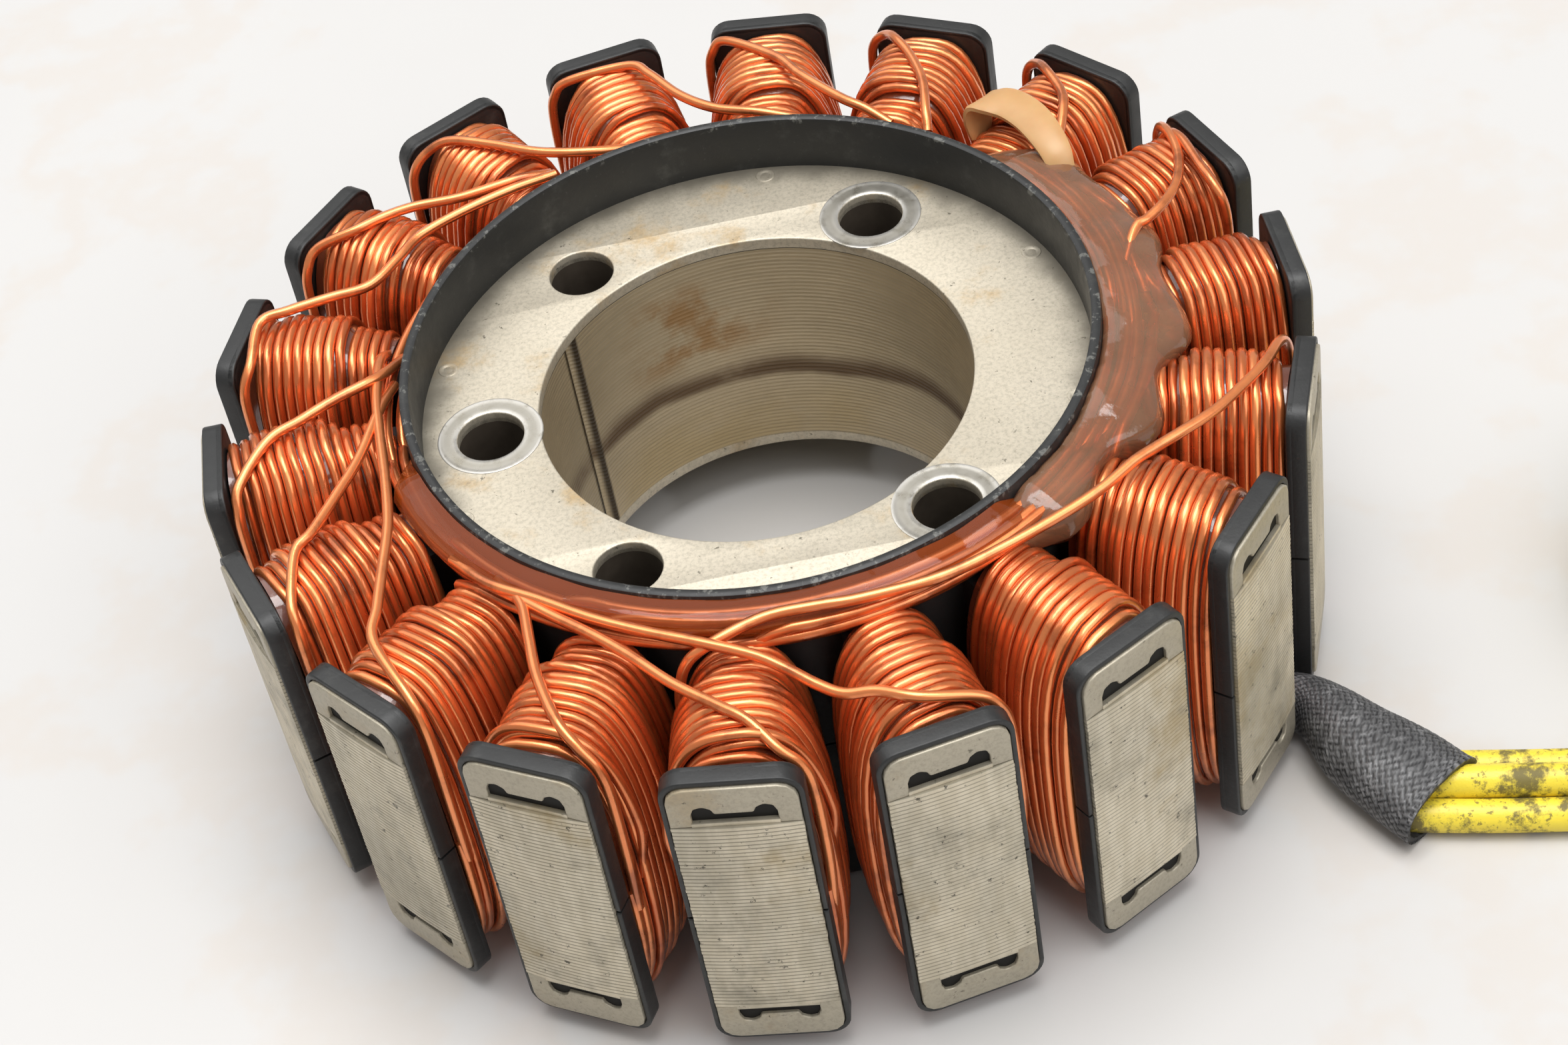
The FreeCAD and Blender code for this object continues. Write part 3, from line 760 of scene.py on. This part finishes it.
# The finishing wire of each coil, counted from 0: where it runs from the hub, in the part's frame
JUMPERS = {
    7: [(-16.5, 33.6, 33.4), (-19.7, 32.8, 34.2), (-26.1, 31.7, 34.2), (-31.1, 31.7, 34.2),
        (-34.5, 31.0, 34.2), (-37.4, 29.8, 34.2)],
    8: [(-16.0, 32.6, 34.0), (-20.5, 31.1, 34.4), (-26.3, 29.1, 34.3), (-30.9, 26.7, 34.2),
        (-33.3, 23.8, 34.2), (-36.5, 20.7, 34.0), (-40.6, 19.8, 34.2), (-44.9, 18.9, 34.3),
        (-48.0, 18.1, 34.1)],
    9: [(-34.0, 10.5, 32.2), (-35.4, 7.7, 33.5), (-36.9, 5.9, 34.2), (-40.7, 4.0, 34.4),
        (-44.4, 2.0, 34.3), (-47.7, 0.1, 34.2)],
    10: [(-35.2, 7.0, 32.0), (-36.3, 3.0, 33.4), (-37.0, 0.4, 34.0), (-39.0, -4.9, 34.0),
         (-41.3, -9.3, 34.1), (-43.8, -13.7, 34.2), (-45.6, -16.0, 34.1)],
    11: [(-35.6, 12.6, 31.4), (-36.3, 9.4, 33.2), (-36.8, 3.2, 33.9), (-36.7, -3.1, 34.1),
         (-36.5, -9.3, 34.3), (-36.6, -15.1, 34.4), (-37.4, -20.5, 34.4), (-38.2, -25.6, 34.4),
         (-38.8, -29.6, 34.2)],
    12: [(-27.0, -24.0, 33.2), (-25.5, -27.4, 34.2), (-24.9, -29.4, 34.4), (-24.7, -33.4, 34.5),
         (-24.4, -38.2, 34.4), (-23.2, -43.6, 34.2)],
    13: [(-28.4, -24.2, 33.6), (-24.3, -29.0, 34.4), (-22.3, -31.1, 34.4), (-19.1, -34.3, 34.4),
         (-16.0, -37.8, 34.4), (-12.6, -42.1, 34.3), (-9.2, -45.5, 34.3), (-6.8, -47.8, 34.1)],
    14: [(-31.0, -20.4, 33.4), (-27.8, -25.4, 34.4), (-23.5, -28.8, 34.6), (-18.9, -32.4, 34.5),
         (-14.3, -35.3, 34.4), (-9.7, -37.9, 34.4), (-5.2, -40.5, 34.2), (-2.6, -42.6, 33.9),
         (-0.1, -45.0, 33.6), (2.0, -46.6, 33.6), (4.8, -47.5, 34.1), (8.2, -49.3, 34.3)],
    17: [(-12.9, -37.6, 23.0), (-12.3, -38.0, 29.0), (-11.0, -38.3, 32.7), (-8.2, -37.9, 34.2),
         (-3.6, -36.7, 34.7), (1.2, -36.8, 34.9), (5.1, -37.0, 34.9), (12.4, -36.4, 34.9),
         (18.5, -34.4, 34.9), (24.9, -31.6, 34.9), (28.9, -29.5, 35.0), (32.2, -27.2, 35.1),
         (34.3, -26.0, 35.0), (37.6, -24.3, 34.9), (41.2, -22.1, 34.6), (44.6, -19.2, 34.3),
         (47.2, -16.6, 34.0)],
    1: [(36.6, -5.0, 31.6), (37.3, -0.4, 32.7), (38.8, 3.6, 33.8), (40.1, 5.8, 34.3), (41.3, 6.5, 34.3),
        (43.4, 8.3, 34.4), (45.4, 11.2, 34.3), (46.5, 15.1, 34.2), (46.6, 18.6, 34.0)],
    2: [(35.6, 22.4, 33.2), (37.0, 26.4, 34.1), (37.4, 29.1, 34.2), (36.7, 33.0, 34.2)],
    3: [(23.0, 29.0, 32.6), (23.3, 31.2, 33.8), (23.8, 35.7, 34.3), (23.3, 40.4, 34.3),
        (22.4, 43.6, 34.2)],
    4: [(19.5, 31.0, 33.0), (17.2, 33.2, 34.0), (14.9, 35.5, 34.3), (11.4, 40.8, 34.3),
        (9.4, 44.8, 34.2)],
    5: [(12.0, 34.4, 32.6), (6.4, 36.1, 34.0), (1.8, 38.2, 34.1), (-1.6, 41.5, 34.2),
        (-4.3, 46.0, 34.3), (-6.4, 48.6, 34.1)],
    6: [(-6.0, 36.0, 32.6), (-12.0, 35.2, 34.0), (-17.3, 36.6, 34.2), (-22.4, 39.5, 34.3),
        (-26.6, 41.6, 34.2)],
}

# The outer turn that crosses over the crown of coil_02
CROSSING = ((45.7, 21.0, 31.0), (46.6, 20.2, 33.2), (47.4, 17.8, 34.2), (48.1, 13.4, 34.3),
            (49.0, 10.0, 33.6), (49.7, 8.9, 31.2), (50.0, 8.7, 25.0))

# Turns of a second layer: the coil, counted from 0, and where each one starts and ends along its tooth
SECOND_LAYER = ((12, 50.9, 49.6), (13, 51.0, 48.7))

# Wires that lie round the collar: degrees, radius and height at both ends
HUB_WIRES = ((178, 330, 35.1, 35.2, 30.7, 30.9), (176, 334, 36.2, 36.3, 30.7, 31.0),
             (200, 328, 35.3, 35.2, 31.8, 32.0), (184, 262, 36.4, 36.2, 31.8, 31.9),
             (206, 318, 35.2, 35.2, 32.9, 33.1), (222, 336, 36.4, 36.3, 32.9, 33.0),
             (232, 404, 35.2, 35.4, 34.1, 33.0), (240, 398, 36.3, 36.8, 34.1, 32.8),
             (214, 372, 37.4, 37.5, 32.1, 32.8), (262, 384, 37.3, 37.8, 33.5, 33.2),
             (60, 182, 35.1, 35.2, 30.6, 30.7), (44, 120, 36.2, 36.3, 30.7, 30.8),
             (110, 186, 36.3, 36.3, 31.7, 31.8), (46, 140, 35.3, 35.3, 31.7, 31.8),
             (50, 112, 36.4, 36.3, 31.9, 32.2), (316, 356, 36.2, 36.8, 33.4, 33.4),
             (344, 392, 37.3, 37.6, 33.5, 33.2), (320, 350, 37.1, 38.0, 33.3, 33.3),
             (322, 352, 38.2, 39.2, 33.1, 32.6), (352, 384, 35.6, 35.9, 33.6, 33.3),
             (356, 380, 38.8, 38.6, 33.5, 32.9))
SWAY = 0.12


def crown_turn(out, k, x0, x1):
    """A turn that lies in the groove between two others over the crown and sinks in on both flanks."""
    path = []
    steps, lifted, sunk = 36, 0.93, 0.35
    for i in range(steps + 1):
        f = i / steps
        a = math.pi * (1 - f)
        x = x0 + (x1 - x0) * f * f * (3 - 2 * f)
        w, h = level(x)
        on_top = min(1.0, 4.5 * math.sin(a))
        lift = lifted * on_top - sunk * (1 - on_top)
        y = signed_power(math.cos(a), 2 / POWER)
        path.append((x, y * (w + lift), MID + math.sin(a) ** (2 / POWER) * (h + lift)))
    out.wire(spline(turn(path, STEP * k), 2), tone=0.5)


def build_jumpers():
    """The wire that leaves the outer turn of each coil, crosses to the hub and lies down there."""
    out = Sheet()
    # The last stretch, down the coil's flank, in the tooth's own frame
    flank = [(50.9, 4.3, 33.1), (51.4, 6.1, 31.4), (51.6, 6.8, 28.2), (51.7, 6.9, 19.0), (51.5, 6.5, 12.0)]
    for k, points in JUMPERS.items():
        path = spline(points + list(turn(flank, STEP * k)), 7)
        out.wire(path, tone=0.62 + 0.2 * rng.random())
    out.wire(spline(CROSSING, 7), tone=0.55)
    for k, x0, x1 in SECOND_LAYER:
        crown_turn(out, k, x0, x1)
    out.obj("finishing_wires", COPPER, angle=60,
            replaces=["front_crossover_wires", "rear_crossover_wires"], slot="varnished_winding")


def ring_wire(out, a0, a1, r0, r1, z0, z1, tone):
    """One wire round the collar, which dips into the varnish at both ends."""
    n = max(6, int(abs(a1 - a0) / 3))
    s1, s2 = rng.random(2) * 6.28
    path = []
    for k in range(n + 1):
        f = k / n
        a = a0 + (a1 - a0) * f
        r = r0 + (r1 - r0) * f + SWAY * math.sin(a / 11 + s1)
        z = z0 + (z1 - z0) * f + SWAY * 0.8 * math.sin(a / 9 + s2)
        z -= 1.5 * max(0.0, 1 - min(k, n - k) / 2) ** 1.5
        path.append(polar(r, a, z))
    out.wire(path, tone=tone)


def build_hub_wires():
    out = Sheet()
    for ends in HUB_WIRES:
        ring_wire(out, *ends, 0.45 + 0.25 * rng.random())
    out.obj("hub_wires", COPPER, angle=60, replaces=["front_crossover_wires", "rear_crossover_wires"],
            slot="varnished_winding")


def build_resin():
    """The pool of resin that covers the joints of the leads, uneven at its rim."""
    out = Sheet()
    rings = []
    start, end, n = -62, 44, 120
    for i in range(n + 1):
        a = start + (end - start) * i / n
        f = i / n
        swell = min(1.0, 3.0 * math.sin(math.pi * f))
        between = 0.5 - 0.5 * math.cos(math.radians(a * TEETH))
        reach = 36.8 + swell * (2.0 + 2.6 * max(0, math.sin(math.radians((a + 40) * 2.1))) + 1.5 * between)
        reach += 0.8 * noise.noise(Vector((a * 0.12, 3.1, 0))) * swell
        top = 31.6 + swell * (2.9 + 0.4 * noise.noise(Vector((a * 0.09, 0.0, 5.0))))
        # From the collar out: how far, as a share of the reach, and how far below the top
        profile = ((0.0, 0.15), (0.08, -0.15), (0.3, 0.0), (0.55, 0.05 + 0.25 * between),
                   (0.75, 0.2 + 0.5 * between), (0.9, 0.5 + 0.9 * between),
                   (0.97, 1.2 + 1.0 * between), (1.0, 2.2 + 0.8 * between))
        ring = []
        for s, drop in profile:
            r = COLLAR_R + (reach - COLLAR_R) * s
            ripple = (0.24 * noise.noise(Vector((a * 0.16, s * 3.0, 1.7)))
                      + 0.14 * noise.noise(Vector((a * 0.5, s * 6.0, 8.2))))
            ring.append(polar(r, a, top - drop + ripple * swell))
        ring.append(polar(reach - 1.0, a, TROUGH_Z))
        ring.append(polar(COLLAR_R, a, TROUGH_Z))
        rings.append(ring)
    out.loft(rings)
    out.obj("resin_pool", RESIN, angle=60, replaces=["potting_resin"], slot="clear_brown_resin")


def build_film():
    """The clear varnish that fills the corner between the hub wires and the collar."""
    out = Sheet()
    rings = []
    start, span, n, low = 186, 128, 120, 31.5
    profile = ((COLLAR_R, 34.95), (34.9, 34.9), (35.6, 34.85), (36.6, 34.7), (37.3, 34.1), (37.6, 33.2),
               (37.2, 32.6), (34.6, 32.8))
    for i in range(n + 1):
        a = start + span * i / n
        fade = min(1, 4 * math.sin(math.pi * i / n))
        bend = 0.25 * noise.noise(Vector((a * 0.11, 2.0, 0)))
        rings.append([polar(COLLAR_R + (r - COLLAR_R) * fade, a, low + (z - low) * fade + bend * fade)
                      for r, z in profile])
    out.loft(rings)
    out.obj("hub_varnish", GLOSS, angle=60, replaces=["front_crossover_wires"], slot="varnished_winding")


def build_loop():
    """The flat amber tube that arches over the inner turns of coil_03."""
    line = spline([(28.6, 28.9, 31.0), (28.4, 29.3, 33.0), (28.8, 29.2, 34.6), (30.0, 28.4, 35.3),
                   (31.7, 27.0, 35.5), (33.2, 24.4, 35.5), (34.2, 21.4, 35.2), (34.8, 18.9, 34.4),
                   (34.9, 17.4, 32.6)], 7)
    # Across as a share of the half width, and out in millimetres
    section = ((-1, -0.25), (-0.8, -0.45), (0.8, -0.45), (1, -0.25), (1, 0.2), (0.8, 0.42), (0, 0.5),
               (-0.8, 0.42), (-1, 0.2))
    rings = []
    n = len(line)
    for i, c in enumerate(line):
        ahead = line[min(i + 1, n - 1)] - line[max(i - 1, 0)]
        ahead /= np.linalg.norm(ahead)
        f = i / n
        across = pt(0.80, 0.45, 0.0) * (1 - f) + pt(0.97, 0.20, 0.25) * f
        across -= ahead * across.dot(ahead)
        across /= np.linalg.norm(across)
        out_way = np.cross(ahead, across)
        half = 1.45 + 0.55 * math.sin(math.pi * min(1, f * 1.1))
        rings.append([c + across * s * half + out_way * t for s, t in section])
    out = Sheet()
    out.loft(rings)
    out.obj("amber_band", AMBER, angle=50, replaces=["amber_loop"], slot="amber_tube")


# Lead bundle

def build_sleeve():
    """The braided sleeve: where its middle lies, half its width and half its height at each station."""
    stations = [(30.0, -17.32, 2.2, 2.6), (36.0, -20.8, 2.3, 2.6), (40.7, -23.5, 2.35, 2.7),
                (45.0, -26.0, 2.5, 3.0), (47.7, -27.7, 2.6, 3.2), (49.4, -30.2, 3.4, 3.25),
                (51.4, -34.4, 4.7, 3.2), (54.0, -38.3, 5.4, 3.1), (56.2, -41.7, 5.6, 2.95),
                (56.8, -42.5, 5.75, 2.9)]
    line = spline([pt(x, y, 0) for x, y, w, h in stations], 26)
    sizes = spline([pt(w, h, 0) for x, y, w, h in stations], 26)
    n, m = len(line), 144
    strands, weave, relief = 30, 0.86, 0.16
    rings, tones = [], []
    run = 0.0
    for i, c in enumerate(line):
        if i:
            run += np.linalg.norm(line[i] - line[i - 1])
        ahead = line[min(i + 1, n - 1)] - line[max(i - 1, 0)]
        ahead /= np.linalg.norm(ahead)
        across = np.cross((0, 0, 1.0), ahead)
        w, h = sizes[i][:2]
        ring = []
        for j in range(m):
            a = 2 * math.pi * j / m
            one, two = j * strands / m + run / weave, j * strands / m - run / weave
            pick = one if (math.floor(one) + math.floor(two)) % 2 else two
            over = math.sin(math.pi * (pick % 1.0)) ** 0.7
            lift = relief * over
            cy, cz = signed_power(math.cos(a), 0.85), signed_power(math.sin(a), 0.85)
            q = c + across * (w - 0.1 + lift) * cy + pt(0, 0, FLOOR + h + (h - 0.1 + lift) * cz)
            q[2] = max(q[2], FLOOR + 0.02)
            ring.append(q)
            # The weave's rise is the tone, which paints the crests lighter and the gaps darker
            tones.append(over)
        rings.append(ring)
    # The open end, turned in, with tone nought: painted shade inside the sleeve
    for shrink, back in ((0.86, 0.0), (0.82, 1.2), (0.80, 3.0)):
        c = line[-1] - ahead * back
        ring = []
        for q in rings[n - 1]:
            d = q - line[-1] - pt(0, 0, FLOOR + h)
            ring.append(c + pt(0, 0, FLOOR + h) + d * shrink)
            tones.append(0.0)
        rings.append(ring)
    out = Sheet()
    out.loft(rings, tone=tones)
    out.obj("sleeve_braid", BRAID, angle=70, replaces=["lead_sleeve"], slot="black_braid")


# Each lead: its name, the radius of its two turns, and its way from the sleeve as x, y and lift
LEADS = (
    ("lead_1", 23.8,
     [(53.2, -42.4, 0), (58.0, -43.8, 0), (64.0, -45.3, 0), (70.5, -46.8, 0.1), (78.2, -48.1, 0),
      (90.0, -48.0, 0)]),
    ("lead_2", 20.0,
     [(55.2, -39.9, 1.2), (60.0, -41.2, 1.65), (66.0, -42.7, 1.7), (72.5, -44.3, 1.75),
      (80.0, -45.1, 1.2), (91.0, -44.4, 0.4)]),
    ("lead_3", 16.2,
     [(57.6, -37.4, 0), (62.4, -38.6, 0), (68.4, -40.1, 0), (74.5, -41.4, 0), (82.0, -41.6, 0),
      (92.0, -40.4, 0)]),
)
RING = pt(104.26, -23.23, 0)
PITCH, ROUNDS, PER_ROUND = 3.8, 2, 16
PLUG_X = 147.0  # just inside the housing


def build_leads():
    """The connector and the three leads that end in it, each one a cord."""
    out = Sheet()
    y0 = RING[1] - 20.0
    # The body and its latch: from and to along x, half width, from and to in height
    boxes = ((146.3, 164.2, 6.4, FLOOR + 0.02, FLOOR + 6.0),
             (156.3, 164.1, 1.95, FLOOR + 5.9, FLOOR + 7.15))
    for x0, x1, half_y, z0, z1 in boxes:
        corners = [(x0, -half_y), (x1, -half_y), (x1, half_y), (x0, half_y)]
        verts, faces = flat_shape([round_corners(corners, [0.6] * 4)], z1 - z0, 0.4)
        out.add(verts + pt(0, y0, (z0 + z1) / 2), faces)
    housing = out.obj("connector_housing", HOUSING, replaces=["lead_connector"], slot="white_housing")
    base = FLOOR + LEAD_D / 2 + 0.02
    for name, radius, way in LEADS:
        points = [pt(x, y, base + lift) for x, y, lift in way]
        for k in range(ROUNDS * PER_ROUND + 1):
            a = -90 + 360 * k / PER_ROUND
            points.append(RING + polar(radius, a, base + PITCH * k / PER_ROUND))
        top = points[-1]
        end = pt(PLUG_X, top[1], base)
        for f in (0.33, 0.66, 1.0):
            points.append(top + (end - top) * f)
        curve = bpy.data.curves.new(name + "_wire", "CURVE")
        curve.dimensions = "3D"
        s = curve.splines.new("NURBS")
        s.points.add(len(points) - 1)
        for q, v in zip(s.points, points):
            q.co = (*(v * MM), 1)
        s.order_u = 3
        s.use_endpoint_u = True
        s.resolution_u = 4
        curve.bevel_depth = LEAD_D / 2 * MM
        curve.bevel_resolution = 5
        curve.use_fill_caps = True
        curve.materials.append(LEAD)
        made = bpy.data.objects.new(name + "_wire", curve)
        bpy.context.collection.objects.link(made)
        settle(made, [name, "lead_coil"])


build_poles()
build_bore()
build_hole_walls()
build_plate("upper_plate", True)
build_plate("lower_plate", False)
build_seats()
build_notches()
build_insulator("upper_moulding", True)
build_insulator("lower_moulding", False)
for tooth in range(TEETH):
    build_coil(tooth)
build_jumpers()
build_hub_wires()
build_resin()
build_film()
build_loop()
build_sleeve()
build_leads()


# Floor, light and camera

def build_stage():
    bpy.ops.mesh.primitive_plane_add(size=6, location=(0, 0, FLOOR * MM))
    floor = bpy.context.object
    floor.name = "floor"
    m = material("floor", (0.54, 0.53, 0.517), rough=0.4, specular=0.3)
    p = Paint(m)
    cloud = p.noise(9, 5, 0.6)
    vein = p.ramp(p.math("ABSOLUTE", p.math("SUBTRACT", p.noise(14, 6, 0.6, seed=2.0), 0.5)), 0.05, 0.0)
    plain = p.mix(cloud, (0.53, 0.52, 0.507), (0.563, 0.555, 0.547))
    p.finish(colour=p.mix(p.math("MULTIPLY", vein, 0.30), plain, (0.54, 0.47, 0.405)))
    floor.data.materials.append(m)
    # Name, place, width in metres and power in watts
    lights = (("key", (-0.7, 1.0, 1.8), 2.0, 16.0), ("fill", (1.1, -1.0, 1.5), 1.6, 18.0),
              ("top", (0.1, 0.05, 2.1), 1.4, 40.0))
    for name, place, width, power in lights:
        data = bpy.data.lights.new(name, "AREA")
        data.size = width
        data.energy = power
        made = bpy.data.objects.new(name, data)
        made.location = place
        made.rotation_euler = (Vector((0, 0, 0.01)) - Vector(place)).to_track_quat("-Z", "Y").to_euler()
        bpy.context.collection.objects.link(made)
    world = bpy.data.worlds.new("world")
    bpy.context.scene.world = world
    world.use_nodes = True
    world.node_tree.nodes["Background"].inputs[0].default_value = (1.0, 0.99, 0.975, 1)
    world.node_tree.nodes["Background"].inputs[1].default_value = 0.46


def build_camera():
    data = bpy.data.cameras.new("camera")
    data.lens = 71.734
    data.sensor_width = 36
    data.clip_start = 0.01
    made = bpy.data.objects.new("camera", data)
    made.location = (-0.0023727, -0.2280705, 0.2366891)
    made.rotation_euler = tuple(math.radians(a) for a in (44.5434, 7.7765, -8.4623))
    bpy.context.collection.objects.link(made)
    bpy.context.scene.camera = made


build_stage()
build_camera()
bpy.context.scene.view_settings.view_transform = "Standard"
